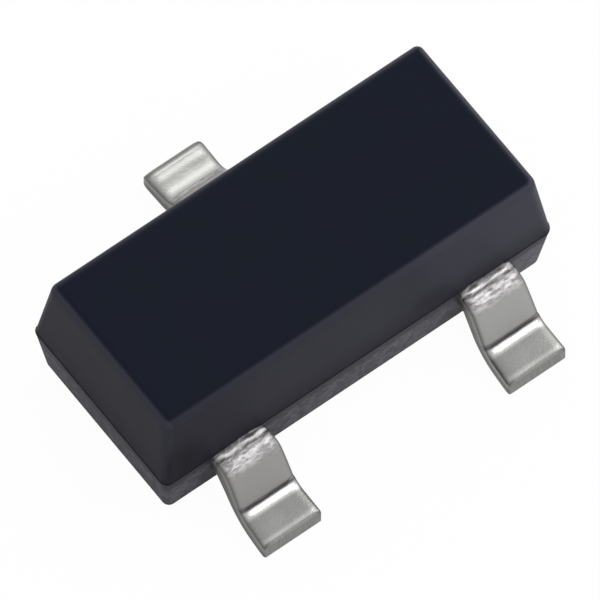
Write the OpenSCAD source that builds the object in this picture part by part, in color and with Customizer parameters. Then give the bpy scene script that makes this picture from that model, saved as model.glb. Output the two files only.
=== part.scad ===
// Three-lead surface-mount voltage supervisor, modelled in millimetres.
// The board lies in the plane z = 0. The body's long side runs along X, pins 1 and 2 point to -Y
// and pin 3, which carries the chip, points to +Y.

/* [Body] */
// Length of the moulded body, measured at its parting line
body_l = 3; // [2.8:0.02:3.1]
// Width of the moulded body, measured at its parting line
body_w = 1.38; // [1.28:0.02:1.5]
// Height of the upper half, from the parting line to the top face
upper_h = 0.6; // [0.5:0.02:0.7]
// Height of the lower half, from the underside to the parting line
lower_h = 0.42; // [0.36:0.02:0.5]
// Draft of the four side walls, in degrees
draft = 7; // [3:1:10]
// Radius of the four upright edges
corner_r = 0.05; // [0.03:0.01:0.14]
// Radius along the edges of the top face
top_r = 0.07; // [0.03:0.01:0.1]
// Radius along the edges of the underside
under_r = 0.03; // [0.01:0.01:0.06]
// How far the body sits off the middle between the toes, towards the front leads
body_offset = 0.012; // [0:0.002:0.03]
// Air gap between the board and the underside
standoff = 0.05; // [0.02:0.01:0.1]
// Diameter of the round ejector mark in the underside
mark_d = 0.5; // [0.3:0.05:0.8]
// Depth of the ejector mark
mark_depth = 0.02; // [0.01:0.005:0.04]

/* [Leads] */
// Width of each lead
lead_w = 0.42; // [0.34:0.01:0.5]
// Thickness of the strip that the leads are stamped from
lead_t = 0.14; // [0.1:0.01:0.18]
// Distance between the middles of the two front leads
lead_pitch = 1.9; // [1.8:0.02:2]
// Level stretch of a front lead between the body and its first bend
shoulder_l = 0.01; // [0.005:0.005:0.05]
// Inside radius of the bend at the body
knee_r = 0.05; // [0.03:0.01:0.08]
// Inside radius of the bend above the foot
ankle_r = 0.03; // [0.02:0.005:0.06]
// Radius of the worn bend under the heel
heel_r = 0.28; // [0.16:0.01:0.34]
// Slope of the leg below level, in degrees
leg_angle = 60; // [50:1:78]
// Length of the level upper face of the foot
foot_l = 0.2345; // [0.16:0.005:0.3]

/* [Lead frame inside the body] */
// Epoxy between the frame and the outside of the long walls
frame_wall = 0.14; // [0.1:0.01:0.18]
// Gap between the die paddle and each bond post
frame_gap = 0.12; // [0.08:0.01:0.2]
// Size of the die paddle along the body
paddle_l = 1.1; // [0.9:0.02:1.2]
// Size of the die paddle across the body
paddle_w = 0.9; // [0.86:0.01:0.98]
// Size of each bond post across the body
post_w = 0.46; // [0.3:0.02:0.6]
// Ledge of each bond post past the outer edge of its lead
post_ledge = 0.05; // [0.02:0.01:0.1]
// Radius of the frame's stamped corners
frame_r = 0.05; // [0.02:0.01:0.08]
// Radius of the notches that lock each lead into the epoxy
lock_r = 0.04; // [0.02:0.005:0.05]

/* [Chip] */
// Length of the silicon chip along the body
die_l = 0.62; // [0.4:0.02:0.8]
// Width of the silicon chip across the body
die_w = 0.54; // [0.4:0.02:0.6]
// Thickness of the silicon chip
die_t = 0.15; // [0.1:0.01:0.2]
// Free paddle behind the chip
die_back_gap = 0.1; // [0.05:0.01:0.14]
// Thickness of the adhesive under the chip
attach_t = 0.02; // [0.01:0.005:0.04]
// How far the adhesive reaches past the chip on each side
attach_lip = 0.03; // [0.01:0.005:0.04]
// Side of each square bond pad
pad_w = 0.09; // [0.08:0.005:0.11]
// Distance from a bond pad to the nearest edge of the chip
pad_edge = 0.04; // [0.03:0.005:0.06]
// Depth of the bond pads below the chip's top coat
pad_depth = 0.005; // [0.004:0.001:0.01]

/* [Bond wires] */
// Diameter of the bond wire
wire_d = 0.025; // [0.02:0.001:0.035]
// Diameter of the ball that starts each wire
ball_d = 0.07; // [0.06:0.002:0.078]
// Height of that ball
ball_h = 0.03; // [0.02:0.002:0.04]
// Height of the wire loop above the bond pad
loop_h = 0.13; // [0.11:0.01:0.18]
// Radius of the bend at the top of the loop
loop_r = 0.04; // [0.03:0.005:0.05]
// Width of the flattened stitch that ends each wire
stitch_w = 0.05; // [0.04:0.005:0.07]
// Thickness of the stitch
stitch_t = 0.012; // [0.008:0.001:0.016]
// Distance from a stitch to the edge of its post or paddle
stitch_edge = 0.09; // [0.06:0.01:0.1]

/* [Hidden] */
$fn = 48;

// Heights
parting_z = standoff + lower_h;
body_top = parting_z + upper_h;
lead_top = parting_z;
lead_bottom = lead_top - lead_t;
die_bottom = lead_top + attach_t;
die_top = die_bottom + die_t;
pad_z = die_top - pad_depth;

// Walls lean in by these amounts
upper_lean = upper_h * tan(draft);
lower_lean = lower_h * tan(draft);
// Cutters and extrusions run this far past what they cut
past = 0.1;
hair = 0.002;

// Gull-wing lead, as distances out from the middle of the body
knee_out_r = knee_r + lead_t;
knee_run = knee_out_r * tan(leg_angle / 2);
knee_u = body_w / 2 + body_offset + shoulder_l + knee_run;
ankle_u = knee_u + (lead_top - lead_t) / tan(leg_angle);
inner_shift = lead_t * tan(leg_angle / 2);
toe_u = ankle_u + ankle_r * tan(leg_angle / 2) + foot_l;

// Lead frame
frame_u = body_w / 2 - frame_wall;
notch_u = body_w / 2 - frame_wall / 2;
post_x0 = paddle_l / 2 + frame_gap;
post_x1 = lead_pitch / 2 + lead_w / 2 + post_ledge;
paddle_front = frame_u - paddle_w;

// Chip and its pads
die_y = frame_u - die_back_gap - die_w / 2;
pad_inset = pad_edge + pad_w / 2;
side_pad_x = die_l / 2 - pad_inset;
front_pad_y = die_y - die_w / 2 + pad_inset;

// Where the wires land
post_stitch_x = post_x0 + stitch_edge;
post_stitch_y = post_w - frame_u - stitch_edge;
paddle_stitch_y = paddle_front + stitch_edge;
wire_lift = 0.003;

function unit(v) = v / norm(v);

// Fills or cuts the corner b of an outline that runs from a over b to c
module corner_piece(a, b, c, r) {
    to_a = unit(a - b);
    to_c = unit(c - b);
    half = acos(to_a * to_c) / 2;
    run = r / tan(half);
    centre = b + unit(to_a + to_c) * r / sin(half);
    difference() {
        polygon([b - unit(to_a + to_c) * r / 4, b + to_a * run, centre, b + to_c * run]);
        translate(centre) circle(r);
    }
}

// Outline with true arcs: a positive radius rounds an outer corner, a negative one an inner corner
module rounded_outline(points, radii) {
    n = len(points);
    difference() {
        union() {
            polygon(points);
            for (i = [0:n - 1])
                if (radii[i] < 0)
                    corner_piece(points[(i + n - 1) % n], points[i], points[(i + 1) % n], -radii[i]);
        }
        for (i = [0:n - 1])
            if (radii[i] > 0)
                corner_piece(points[(i + n - 1) % n], points[i], points[(i + 1) % n], radii[i]);
    }
}

module rounded_plate(x0, x1, y0, y1, r) {
    rounded_outline([[x0, y0], [x1, y0], [x1, y1], [x0, y1]], [r, r, r, r]);
}

// Section of the body across one pair of walls
module wall_section(width) {
    side = width / 2;
    rounded_outline(
        [
            [-side + lower_lean, standoff], [side - lower_lean, standoff], [side, parting_z],
            [side - upper_lean, body_top], [-side + upper_lean, body_top], [-side, parting_z]
        ],
        [under_r, under_r, 0, top_r, top_r, 0]
    );
}

// Rounds the four upright edges between two levels, where the walls lean in by lean.
// It stands a hair outside the walls, so that it touches nothing but the edges.
module upright_edges(wide_z, narrow_z, lean) {
    half_l = body_l / 2 - corner_r + hair;
    half_w = body_w / 2 - corner_r + hair;
    hull()
        for (x = [-1, 1], y = [-1, 1]) {
            translate([x * half_l, y * half_w, wide_z])
                cylinder(r = corner_r, h = hair, center = true, $fn = 32);
            translate([x * (half_l - lean), y * (half_w - lean), narrow_z])
                cylinder(r = corner_r, h = hair, center = true, $fn = 32);
        }
}

module body_shape() {
    intersection() {
        rotate([90, 0, 0])
            linear_extrude(height = body_w + past, center = true) wall_section(body_l);
        rotate([90, 0, 90])
            linear_extrude(height = body_l + past, center = true) wall_section(body_w);
        union() {
            upright_edges(parting_z, body_top, upper_lean);
            upright_edges(parting_z, standoff, lower_lean);
        }
    }
}

// Epoxy shell, moulded in one shot around the frame, the chip and the wires
module mould_body() {
    color("#22262d")
        difference() {
            translate([0, -body_offset, 0]) body_shape();
            translate([0, -body_offset, standoff - past]) cylinder(d = mark_d, h = past + mark_depth);
            lead_reset();
            lead_supply();
            lead_ground();
            die_attach();
            silicon_die();
            wire_reset();
            wire_supply();
            wire_ground();
        }
}

// Side view of a lead from inside the body to its toe
module gull_wing() {
    rounded_outline(
        [
            [frame_u - frame_r, lead_top], [knee_u, lead_top], [ankle_u, lead_t], [toe_u, lead_t],
            [toe_u, 0], [ankle_u - inner_shift, 0], [knee_u - inner_shift, lead_bottom],
            [frame_u - frame_r, lead_bottom]
        ],
        [0, knee_out_r, -ankle_r, 0, 0, heel_r, -knee_r, 0]
    );
}

// Bent lead that points to -Y, with its lock notches
module front_lead() {
    difference() {
        rotate([90, 0, -90])
            linear_extrude(height = lead_w, center = true) gull_wing();
        for (side = [-1, 1])
            translate([side * lead_w / 2, -notch_u, lead_bottom - past])
                cylinder(r = lock_r, h = lead_t + 2 * past);
    }
}

module frame_plate() {
    translate([0, 0, lead_bottom])
        linear_extrude(height = lead_t) children();
}

module front_post_and_lead() {
    translate([lead_pitch / 2, 0, 0]) front_lead();
    frame_plate() rounded_plate(post_x0, post_x1, -frame_u, post_w - frame_u, frame_r);
}

// Pin 1, front left
module lead_reset() {
    color("#c3c3c1")
        mirror([1, 0, 0]) front_post_and_lead();
}

// Pin 2, front right
module lead_supply() {
    color("#c3c3c1")
        front_post_and_lead();
}

// Pin 3, at the back, in one piece with the paddle under the chip
module lead_ground() {
    color("#c3c3c1") {
        rotate([0, 0, 180]) front_lead();
        frame_plate() rounded_plate(-paddle_l / 2, paddle_l / 2, paddle_front, frame_u, frame_r);
    }
}

module die_attach() {
    color("#8d8d90")
        translate([-die_l / 2 - attach_lip, die_y - die_w / 2 - attach_lip, lead_top])
            cube([die_l + 2 * attach_lip, die_w + 2 * attach_lip, attach_t]);
}

module bond_pad_cut(x, y) {
    translate([x - pad_w / 2, y - pad_w / 2, pad_z]) cube([pad_w, pad_w, past]);
}

module silicon_die() {
    color("#5a5f6e")
        difference() {
            translate([-die_l / 2, die_y - die_w / 2, die_bottom]) cube([die_l, die_w, die_t]);
            bond_pad_cut(-side_pad_x, die_y);
            bond_pad_cut(side_pad_x, die_y);
            bond_pad_cut(0, front_pad_y);
        }
}

// Ball on the pad, loop, and stitch on the frame; the wire lies in one upright plane.
// Its slope is held to a hundredth of a degree.
module bond_wire(start, landing) {
    span = landing - start;
    ground_run = norm([span.x, span.y]);
    rise = loop_h - loop_r - wire_d / 2;
    end_z = span.z + wire_d / 2 + wire_lift;
    reach = norm([ground_run - loop_r, rise - end_z]);
    exact_slope = atan2(rise - end_z, ground_run - loop_r) + asin(loop_r / reach);
    slope = round(exact_slope * 100) / 100;
    straight = sqrt(reach * reach - loop_r * loop_r);
    translate(start)
        rotate([0, 0, atan2(span.y, span.x)]) {
            intersection() {
                translate([0, 0, ball_h / 2]) sphere(d = ball_d);
                translate([-ball_d, -ball_d, 0]) cube([2 * ball_d, 2 * ball_d, ball_h]);
            }
            translate([0, 0, ball_h / 2]) cylinder(d = wire_d, h = rise - ball_h / 2);
            translate([loop_r, 0, rise])
                rotate([90, slope, 0]) {
                    rotate([0, 0, 90])
                        rotate_extrude(angle = 90 + slope)
                            translate([loop_r, 0]) circle(d = wire_d);
                    translate([0, loop_r, 0])
                        rotate([0, 90, 0]) {
                            cylinder(d = wire_d, h = straight);
                            translate([0, 0, straight]) sphere(d = wire_d);
                        }
                }
            translate([ground_run, 0, span.z])
                linear_extrude(height = stitch_t) stitch_outline();
        }
}

module stitch_outline() {
    circle(d = stitch_w);
    translate([0, -stitch_w / 2]) square([stitch_w / 2, stitch_w]);
}

module wire_reset() {
    color("#d9b56a")
        bond_wire([-side_pad_x, die_y, pad_z], [-post_stitch_x, post_stitch_y, lead_top]);
}

module wire_supply() {
    color("#d9b56a")
        bond_wire([side_pad_x, die_y, pad_z], [post_stitch_x, post_stitch_y, lead_top]);
}

module wire_ground() {
    color("#d9b56a")
        bond_wire([0, front_pad_y, pad_z], [0, paddle_stitch_y, lead_top]);
}

mould_body();
lead_reset();
lead_supply();
lead_ground();
die_attach();
silicon_die();
wire_reset();
wire_supply();
wire_ground();
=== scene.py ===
"""Finish, stage and camera of a three-lead surface-mount voltage supervisor.

Sizes here are in millimetres. MM turns them into the scene's metres at the moment a mesh is made.
"""
import math
from collections import namedtuple

import bmesh
import bpy
from mathutils import Matrix, Vector, noise


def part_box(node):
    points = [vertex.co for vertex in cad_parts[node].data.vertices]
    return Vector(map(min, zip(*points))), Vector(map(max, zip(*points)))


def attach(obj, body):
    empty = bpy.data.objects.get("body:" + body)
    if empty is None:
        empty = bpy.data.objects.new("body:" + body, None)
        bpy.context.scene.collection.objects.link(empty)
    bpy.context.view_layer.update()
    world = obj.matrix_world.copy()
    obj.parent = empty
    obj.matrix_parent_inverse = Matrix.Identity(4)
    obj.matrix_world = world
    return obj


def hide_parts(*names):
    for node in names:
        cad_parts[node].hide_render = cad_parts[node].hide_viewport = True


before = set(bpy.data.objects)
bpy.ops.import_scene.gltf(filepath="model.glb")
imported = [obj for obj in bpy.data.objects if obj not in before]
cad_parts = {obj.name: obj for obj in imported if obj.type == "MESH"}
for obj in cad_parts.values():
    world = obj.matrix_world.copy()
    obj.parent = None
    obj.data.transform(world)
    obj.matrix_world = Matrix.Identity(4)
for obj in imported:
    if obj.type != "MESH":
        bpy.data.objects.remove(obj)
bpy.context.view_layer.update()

MM = 0.001


def box_mm(node):
    """Lowest and highest corner of a CAD node, in millimetres."""
    low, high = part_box(node)
    return low / MM, high / MM


body_low, body_high = box_mm("mould_body")
supply_low, supply_high = box_mm("lead_supply")
ground_low, ground_high = box_mm("lead_ground")

# Body, as drawn in the part's source
HALF_L = body_high.x
HALF_W = (body_high.y - body_low.y) / 2
BODY_Y = (body_high.y + body_low.y) / 2
PARTING_Z = ground_high.z
UNDERSIDE_Z = body_low.z
TOP_Z = body_high.z
DRAFT = math.radians(7)
TOP_R = 0.07
UNDER_R = 0.03
MARK_D = 0.5
MARK_DEPTH = 0.02

# Finer shape of the body. The mould set it this far along the leads' row
MOULD_SHIFT = -0.005
# Radii of the upright corners, at the parting line and at the top: right front, right back, left
# back, left front. The cavity is milled rounder towards its floor, and worn a little at the vent
PARTING_CORNERS = (0.07, 0.05, 0.05, 0.05)
TOP_CORNERS = (0.08, 0.05, 0.07, 0.07)
LEAST_CORNER_R = 0.015
# The upper cavity is this much narrower than the lower one all round, which leaves a fine ledge
LEDGE = 0.004
LEDGE_EDGE_R = 0.004
LEDGE_ROOT_R = 0.002
# Waver of the parting line: how far it strays, how far from the ledge it reaches, and its length
FLASH_STRAY = 0.004
FLASH_REACH = 0.03
FLASH_LENGTH = 0.07
# Mesh of the body: points along each side, height of the walls' rows, room between them and the
# ledge, and how close to a rounded edge a row holds the shading of the flat beside it
LONG_SIDE_POINTS = 96
SHORT_SIDE_POINTS = 44
WALL_ROW = 0.03
LEDGE_ROOM = 0.006
EDGE_HOLD = 0.008

# Leads, as drawn in the part's source. A place named U is a distance out along a lead
LEAD_T = 0.14
LEAD_PITCH = 1.9
SHOULDER_L = 0.01
KNEE_R = 0.05
HEEL_R = 0.28
LEG_ANGLE = math.radians(60)
FRAME_INSET = 0.14
FRAME_U = HALF_W - FRAME_INSET
FRAME_R = 0.05
LOCK_R = 0.04
NOTCH_U = (FRAME_U + HALF_W) / 2
KNEE_U = HALF_W - BODY_Y + SHOULDER_L + (KNEE_R + LEAD_T) * math.tan(LEG_ANGLE / 2)
ANKLE_U = KNEE_U + (PARTING_Z - LEAD_T) / math.tan(LEG_ANGLE)
TOE_U = ground_high.y

# Finer shape of the leads: they widen a little towards the toe, and the stamping die leaves a
# radius along the upper edges of the strip and a sharper one along the lower edges
LEAD_W_BODY = 0.4
LEAD_W_TOE = 0.446
ROLLOVER_W = 0.07
ROLLOVER_R = 0.028
BURR_R = 0.007
# Share of the drop of the toe's upper edge by which it also narrows
TOE_NARROWING = 0.8
TOE_STEPS = 5
# How much the toe's rounded edge looks trimmed where it starts
TRIMMED_START = 0.4
# The sheared end face lies this close to the toe's reach, and its normal points nearly straight out
END_FACE_ROOM = 0.002
END_FACE_LEAST = 0.9

# Crease that the bending punch leaves along the knee, and how far it strays from its line
CREASE_U = 0.752
CREASE_W = 0.014
CREASE_DEPTH = 0.0036
CREASE_STRAY = 0.014
CREASE_STRAY_SIZE = 0.13
CREASE_STRAY_ROW = 7
# Share by which its depth varies across a lead, and the size of that
CREASE_UNEVEN = 0.4
CREASE_UNEVEN_SIZE = 0.07
CREASE_UNEVEN_ROW = 3
# Beside it lie a painted highlight on the crest and, just past it, a line of painted shade: place,
# width and depth of tone
CREST_U = 0.737
CREST_W = 0.011
CREST_TONE = 0.55
CREASE_LINE_U = 0.768
CREASE_LINE_W = 0.009
CREASE_LINE_TONE = 0.35
# Fine wrinkles over the stretched knee and slow waves elsewhere: depth, and size across and along
WRINKLE_DEPTH = 0.002
WRINKLE_SIZE = (0.06, 0.018)
WAVE_DEPTH = 0.001
WAVE_SIZE = (0.15, 0.07)
WAVE_ROW = 5
# The knee's stretch ends where its slope comes this close to the leg's
STRAIGHT_ROOM = 0.01

# Bend above the foot: on the front leads the forming tool bites a groove just above it, and the
# bend has a painted highlight; the foot runs a little downhill and turns down at its end
GROOVE_HEIGHT = 0.03
GROOVE_DEPTH = 0.014
GROOVE_W = 0.02
GROOVE_R = 0.005
# The groove's side towards the leg stands nearly upright
GROOVE_SIDE = math.radians(85)
GROOVE_SIDE_RUN = 0.001
# Painted shade lies in the groove, around a place this far before the ankle. It thins out over a
# width, and is gone at so many widths from there
GROOVE_SHADE_BACK = 0.014
GROOVE_SHADE_FADE = 0.012
GROOVE_SHADE_WIDTHS = 1.7
# The painted highlight starts this far before the ankle
HIGHLIGHT_BACK = 0.03
BITE_SLOPE = math.radians(45)
BITE_R = 0.1
PLAIN_ANKLE_R = 0.18
FOOT_SLOPE = math.radians(3)
FOOT_BEND_R = 0.15
# Bends along the foot: how far before the toe, and the slope after the bend
FRONT_FOOT = ((0.05, math.radians(12)),)
BACK_FOOT = ((0.153, 0.0), (0.113, math.radians(12)), (0.073, math.radians(2)))

# What differs from lead to lead: the foot, the toe, and how far the leg and the toe stand sideways
# towards +X, since no two leads come out of the forming tool quite alike
LeadForm = namedtuple("LeadForm", "seed grooved foot toe_u toe_l toe_r leg_sway toe_sway")
RESET_FORM = LeadForm(1.0, True, FRONT_FOOT, TOE_U, 0.028, 0.028, 0.018, 0.008)
SUPPLY_FORM = LeadForm(2.0, True, FRONT_FOOT, TOE_U, 0.028, 0.028, 0.005, -0.005)
GROUND_FORM = LeadForm(3.0, False, BACK_FOOT, TOE_U + 0.018, 0.06, 0.042, 0.004, 0.0075)
# Share of the way from the wall to the toe over which a lead comes to its sideways place
SWAY_RUN = 0.35
# Side of the body on which a lead stands
FRONT = -1
BACK = 1

# Marks kept for each point of a lead, by which its tin differs: how stretched it is, how much it
# belongs to a cut side, how much painted shade it has in the groove and along the crease line, how
# much painted highlight it has at the bend and on the crest, and how torn it is
LEAD_MARKS = ("strain", "side", "groove", "painted_highlight", "torn")

# Patches of painted shade on the front wall, left of each front lead: middle, rise over the
# parting line, reach along and up the wall, and depth of tone
LEAD_SHADE_PATCHES = ((-1.38, 0.12, 0.26, 0.32, 1.0), (0.54, 0.06, 0.27, 0.24, 0.6))
# Depth of the wall that a patch takes in, which is more than its draft
LEAD_SHADE_REACH_Y = 0.3

# Camera, fitted to the photograph
VIEW_AZIMUTH = math.radians(-36.78)
VIEW_ELEVATION = math.radians(62.62)
PIXELS_PER_MM = 161.9
IMAGE_PIXELS = 600
CAMERA_DISTANCE = 133.3
AIM_HEIGHT = 0.5
AIM_RIGHT = 0.036
AIM_UP = -0.146
SENSOR = 36.0

# Light of the room at its walls and overhead, and the middle of the part's shade on the board, with
# how bright reflections see it there
ROOM_LEVEL = 0.25
CEILING_LEVEL = 0.8
SHADE_MIDDLE = Vector((-1.6, 0.2, 0))
MIRRORED_GLOW = 0.42
FLOOR_HALF = 400

# Inputs of a Mix node for its two colours, and its output for the mixed one
MIX_A = 6
MIX_B = 7
MIXED = 2


# Meshes

def make_piece(name, verts, faces, materials, body="root"):
    """Makes a mesh piece from points in millimetres and lets it ride on a CAD body."""
    mesh = bpy.data.meshes.new(name)
    mesh.from_pydata([Vector(v) * MM for v in verts], [], faces)
    mesh.update()
    piece = bpy.data.objects.new(name, mesh)
    bpy.context.scene.collection.objects.link(piece)
    for each in materials:
        mesh.materials.append(each)
    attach(piece, body)
    return piece


def finish_shading(mesh, sharp_angle=math.radians(40)):
    """Smooths the mesh, apart from the edges that are sharper than sharp_angle."""
    bm = bmesh.new()
    bm.from_mesh(mesh)
    bmesh.ops.recalc_face_normals(bm, faces=bm.faces)
    for face in bm.faces:
        face.smooth = True
    for edge in bm.edges:
        edge.smooth = len(edge.link_faces) != 2 or edge.calc_face_angle() < sharp_angle
    bm.to_mesh(mesh)
    bm.free()


def loft(rings):
    """Closed mesh through rings that all have the same number of points, with a flat cap at each
    end."""
    count = len(rings[0])
    verts = [point for ring in rings for point in ring]
    faces = [tuple(reversed(range(count)))]
    for level in range(len(rings) - 1):
        start = level * count
        for i in range(count):
            j = (i + 1) % count
            faces.append((start + i, start + j, start + count + j, start + count + i))
    faces.append(tuple(range(len(verts) - count, len(verts))))
    return verts, faces


def spaced(start, end, step):
    """Numbers from start to end, both included, about step apart."""
    count = max(1, round(abs(end - start) / step))
    return [start + (end - start) * i / count for i in range(count + 1)]


def limited(share):
    """Share held between 0 and 1."""
    return min(1.0, max(0.0, share))


def eased(share):
    """Share that leaves 0 and reaches 1 smoothly."""
    return share * share * (3 - 2 * share)


# Body

def corner_point(half_x, half_y, side_x, side_y, radius, degrees):
    """Point on one rounded corner of a rectangle, at an angle."""
    angle = math.radians(degrees)
    centre = Vector((side_x * (half_x - radius), side_y * (half_y - radius)))
    return centre + radius * Vector((math.cos(angle), math.sin(angle)))


def rounded_rectangle(half_x, half_y, radii, long_count, short_count, corner_count=10):
    """Outline, anticlockwise from the right front corner, whose number of points doesn't depend on
    its size. It has a radius for each corner."""
    corners = ((1, -1, -90, short_count), (1, 1, 0, long_count),
               (-1, 1, 90, short_count), (-1, -1, 180, long_count))
    points = []
    for index, (side_x, side_y, start, count) in enumerate(corners):
        for i in range(corner_count + 1):
            turn = start + 90 * i / corner_count
            points.append(corner_point(half_x, half_y, side_x, side_y, radii[index], turn))
        following = (index + 1) % 4
        next_x, next_y, next_start, _ = corners[following]
        target = corner_point(half_x, half_y, next_x, next_y, radii[following], next_start)
        last = points[-1].copy()
        for i in range(1, count):
            points.append(last.lerp(target, i / count))
    return points


def tightened(corners, amount):
    """Corner radii that are smaller by an amount, down to the least one."""
    return [max(LEAST_CORNER_R, each - amount) for each in corners]


def rounded_edge(parting_inset, flat_inset, flat_z, radius, corners, steps=10):
    """Wall's end and the arc that joins it to a flat face, as (inset, height, corner radii)."""
    rise = abs(flat_z - PARTING_Z)
    up = math.copysign(1, flat_z - PARTING_Z)
    lean = (flat_inset - parting_inset) / rise
    start = math.atan(lean)
    drop = rise - radius
    centre = parting_inset + drop * lean + radius / math.cos(start)
    hold = drop - EDGE_HOLD
    levels = [(parting_inset + hold * lean, PARTING_Z + up * hold, corners)]
    for i in range(steps + 1):
        angle = start + (math.pi / 2 - start) * i / steps
        inset = centre - radius * math.cos(angle)
        height = PARTING_Z + up * (drop + radius * math.sin(angle))
        levels.append((inset, height, tightened(corners, radius * (1 - math.cos(angle)))))
    levels.append((centre + EDGE_HOLD, flat_z, tightened(corners, radius)))
    return levels


def lower_wall(start_inset, start_z):
    """Levels of the lower half's wall, from where its rim ends up to the ledge."""
    heights = spaced(start_z, PARTING_Z - LEDGE_EDGE_R - LEDGE_ROOM, WALL_ROW)
    levels = []
    for z in heights:
        inset = start_inset * (PARTING_Z - z) / (PARTING_Z - start_z)
        levels.append((inset, z, PARTING_CORNERS))
    return levels


def parting_ledge(steps=4):
    """Levels of the fine ledge at the parting line: its rounded edge and its rounded root."""
    quarter = [math.pi / 2 * i / steps for i in range(steps + 1)]
    levels = []
    for angle in quarter:
        inset = LEDGE_EDGE_R * (1 - math.cos(angle))
        levels.append((inset, PARTING_Z - LEDGE_EDGE_R * (1 - math.sin(angle)), PARTING_CORNERS))
    for angle in quarter:
        inset = LEDGE - LEDGE_ROOT_R * (1 - math.sin(angle))
        levels.append((inset, PARTING_Z + LEDGE_ROOT_R * (1 - math.cos(angle)), PARTING_CORNERS))
    return levels


def upper_wall(end_inset, end_z):
    """Levels of the upper half's wall, from the ledge up to where its rim starts."""
    heights = spaced(PARTING_Z + LEDGE_ROOT_R + LEDGE_ROOM, end_z, WALL_ROW)[:-1]
    levels = []
    for z in heights:
        share = (z - PARTING_Z) / (end_z - PARTING_Z)
        radii = [low + (high - low) * share for low, high in zip(PARTING_CORNERS, TOP_CORNERS)]
        levels.append((LEDGE + (end_inset - LEDGE) * share, z, radii))
    return levels


def body_profile():
    """Wall of the body from the underside's rim up to the top's rim, as (inset, height, corner
    radii)."""
    lower_inset = (PARTING_Z - UNDERSIDE_Z) * math.tan(DRAFT)
    upper_inset = (TOP_Z - PARTING_Z) * math.tan(DRAFT)
    under_rim = rounded_edge(0, lower_inset, UNDERSIDE_Z, UNDER_R, PARTING_CORNERS)
    top_rim = rounded_edge(LEDGE, upper_inset, TOP_Z, TOP_R, TOP_CORNERS)
    levels = list(reversed(under_rim[1:]))
    levels += lower_wall(*under_rim[0][:2])
    levels += parting_ledge()
    levels += upper_wall(*top_rim[0][:2])
    return levels + top_rim


def flash_waver(x, y, z):
    """Small unevenness of the parting line: strongest at the ledge and gone at its reach."""
    near = max(0.0, 1.0 - abs(z - PARTING_Z) / FLASH_REACH)
    return FLASH_STRAY * near * noise.noise(Vector((x, y, 0)) / FLASH_LENGTH)


def body_ring(inset, z, radii):
    """Ring round the body at one level."""
    half_x = HALF_L - inset
    half_y = HALF_W - inset
    ring = []
    for point in rounded_rectangle(half_x, half_y, radii, LONG_SIDE_POINTS, SHORT_SIDE_POINTS):
        out = flash_waver(point.x, point.y, z)
        x = MOULD_SHIFT + point.x + out * point.x / half_x
        y = BODY_Y + point.y + out * point.y / half_y
        ring.append((x, y, z))
    return ring


def ejector_recess(rim):
    """Rings from the middle of the ejector mark out to the rim of the underside."""
    radius = MARK_D / 2
    floor_z = UNDERSIDE_Z + MARK_DEPTH
    # The pin leaves a slightly rounded root and lip
    wall = (
        (radius * 0.3, floor_z), (radius - 0.012, floor_z),
        (radius - 0.005, floor_z - 0.002), (radius - 0.002, floor_z - 0.006),
        (radius, UNDERSIDE_Z + 0.003), (radius + 0.003, UNDERSIDE_Z), (radius + 0.012, UNDERSIDE_Z)
    )
    turns = [math.atan2(y - BODY_Y, x - MOULD_SHIFT) for x, y, _ in rim]
    rings = []
    for r, z in wall:
        rings.append([(MOULD_SHIFT + r * math.cos(a), BODY_Y + r * math.sin(a), z) for a in turns])
    return rings


def moulded_body(materials):
    """Black body, in one closed piece."""
    rings = [body_ring(*level) for level in body_profile()]
    verts, faces = loft(ejector_recess(rings[0]) + rings)
    piece = make_piece("moulded_body", verts, faces, materials)
    finish_shading(piece.data)
    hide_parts("mould_body")


# Side view of a lead

def bend(corner, slope_in, slope_out, radius, steps=16):
    """Arc that rounds a corner in the side view of a lead, as (distance out, height, slope)."""
    turn = 1 if slope_out > slope_in else -1
    reach = radius * math.tan(abs(slope_out - slope_in) / 2)
    start = corner - reach * Vector((math.cos(slope_in), -math.sin(slope_in)))
    centre = start - turn * radius * Vector((math.sin(slope_in), math.cos(slope_in)))
    points = []
    for i in range(steps + 1):
        slope = slope_in + (slope_out - slope_in) * i / steps
        point = centre + turn * radius * Vector((math.sin(slope), math.cos(slope)))
        points.append((*point, slope))
    return points


def straight(start, end, steps):
    """Points between two ends of a straight stretch, both left out."""
    return [tuple(a + (b - a) * i / steps for a, b in zip(start, end)) for i in range(1, steps)]


def along(point, slope, distance):
    """Point at a distance from another in the side view of a lead."""
    return point + distance * Vector((math.cos(slope), -math.sin(slope)))


def leg_point(height):
    """Point of the leg's upper face at a height over the foot."""
    return Vector((ANKLE_U - height / math.tan(LEG_ANGLE), LEAD_T + height))


def foot_bends(corner, form):
    """Slight bends of the foot's upper face, after the bend above the foot with this corner."""
    points = []
    slope = FOOT_SLOPE
    for before_toe, next_slope in form.foot:
        distance = (form.toe_u - before_toe - corner.x) / math.cos(slope)
        corner = along(corner, slope, distance)
        points += bend(corner, slope, next_slope, FOOT_BEND_R, steps=6)
        slope = next_slope
    return points


def grooved_ankle(form):
    """Upper face from the end of the leg through the groove and round the bend to the foot's end."""
    outer = leg_point(GROOVE_HEIGHT + GROOVE_DEPTH)
    bottom = Vector((outer.x + GROOVE_SIDE_RUN, outer.y - GROOVE_DEPTH))
    start = bottom + Vector((GROOVE_W, 0))
    corner = along(start, BITE_SLOPE, BITE_R * math.tan((BITE_SLOPE - FOOT_SLOPE) / 2))
    points = bend(bottom, GROOVE_SIDE, 0, GROOVE_R, steps=6)
    points += bend(start, 0, BITE_SLOPE, GROOVE_R, steps=4)
    points += bend(corner, BITE_SLOPE, FOOT_SLOPE, BITE_R, steps=14)
    return points + foot_bends(corner, form)


def plain_ankle(form):
    """Upper face from the end of the leg round the bend to the foot's end."""
    corner = leg_point(0)
    points = bend(corner, LEG_ANGLE, FOOT_SLOPE, PLAIN_ANKLE_R, steps=20)
    return points + foot_bends(corner, form)


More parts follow.
